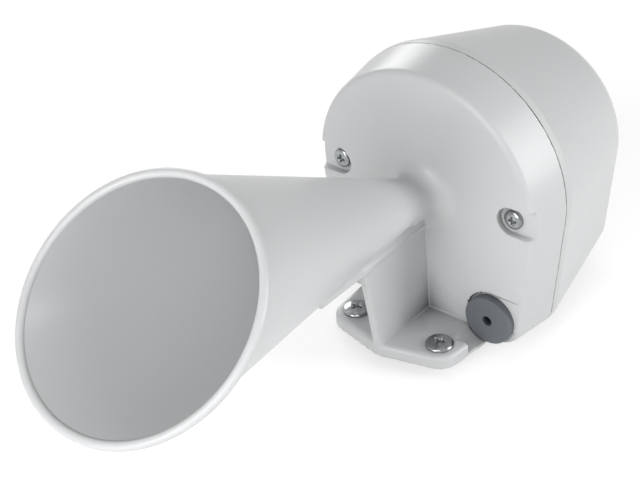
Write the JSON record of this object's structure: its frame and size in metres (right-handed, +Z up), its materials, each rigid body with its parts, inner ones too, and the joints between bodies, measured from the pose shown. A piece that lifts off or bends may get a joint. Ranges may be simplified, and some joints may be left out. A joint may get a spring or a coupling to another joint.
{
  "type": "electronic siren",
  "caption": "Wall-mounted electronic siren in light grey plastic: a two-shell drum housing with a long oblique horn, mounting flange and rubber cable grommet.",
  "frame": {"origin": "midway between the two mounting screws on the underside of the mounting flange", "axes": "+Z up out of the flange, -Y along the horn, +X to the right seen from the mouth"},
  "size_m": [0.0938, 0.2426, 0.1156],
  "materials": {
    "housing_plastic": "glossy light grey ABS, lightly orange-peeled",
    "black_rubber": "matt black rubber",
    "grey_rubber": "matt dark grey rubber",
    "zinc_steel": "bright zinc-plated steel",
    "black_plastic": "matt black plastic",
    "film_plastic": "translucent amber film",
    "copper_wire": "enamelled copper winding",
    "ferrite": "dark sintered ferrite",
    "tinned_brass": "tinned brass",
    "board_laminate": "green solder-resist laminate",
    "green_plastic": "green terminal plastic",
    "can_aluminium": "plain aluminium",
    "resistor_lacquer": "beige lacquer",
    "red_plastic": "red insulation"
  },
  "bodies": {
    "root": {"horn_front_shell": "housing_plastic", "rear_cover": "housing_plastic", "seam_gasket": "black_rubber", "cover_screw_left": "zinc_steel", "cover_screw_right": "zinc_steel", "mount_screw_left": "zinc_steel", "mount_screw_right": "zinc_steel", "cable_grommet": "grey_rubber", "driver_gasket": "black_rubber", "driver_frame": "black_plastic", "phase_plug": "black_plastic", "diaphragm": "film_plastic", "voice_coil": "copper_wire", "top_plate": "zinc_steel", "magnet_ring": "ferrite", "pole_yoke": "zinc_steel", "driver_screw": "zinc_steel", "driver_tags": "tinned_brass", "circuit_board": "board_laminate", "board_screws": "zinc_steel", "terminal_block": "green_plastic", "terminal_screws": "zinc_steel", "supply_capacitor": "can_aluminium", "signal_capacitors": "can_aluminium", "tone_chip": "black_plastic", "heat_sink": "can_aluminium", "power_transistor_left": "black_plastic", "power_transistor_right": "black_plastic", "resistors": "resistor_lacquer", "supply_diode": "black_plastic", "speaker_lead_red": "red_plastic", "speaker_lead_black": "black_plastic"}
  },
  "joints": []
}
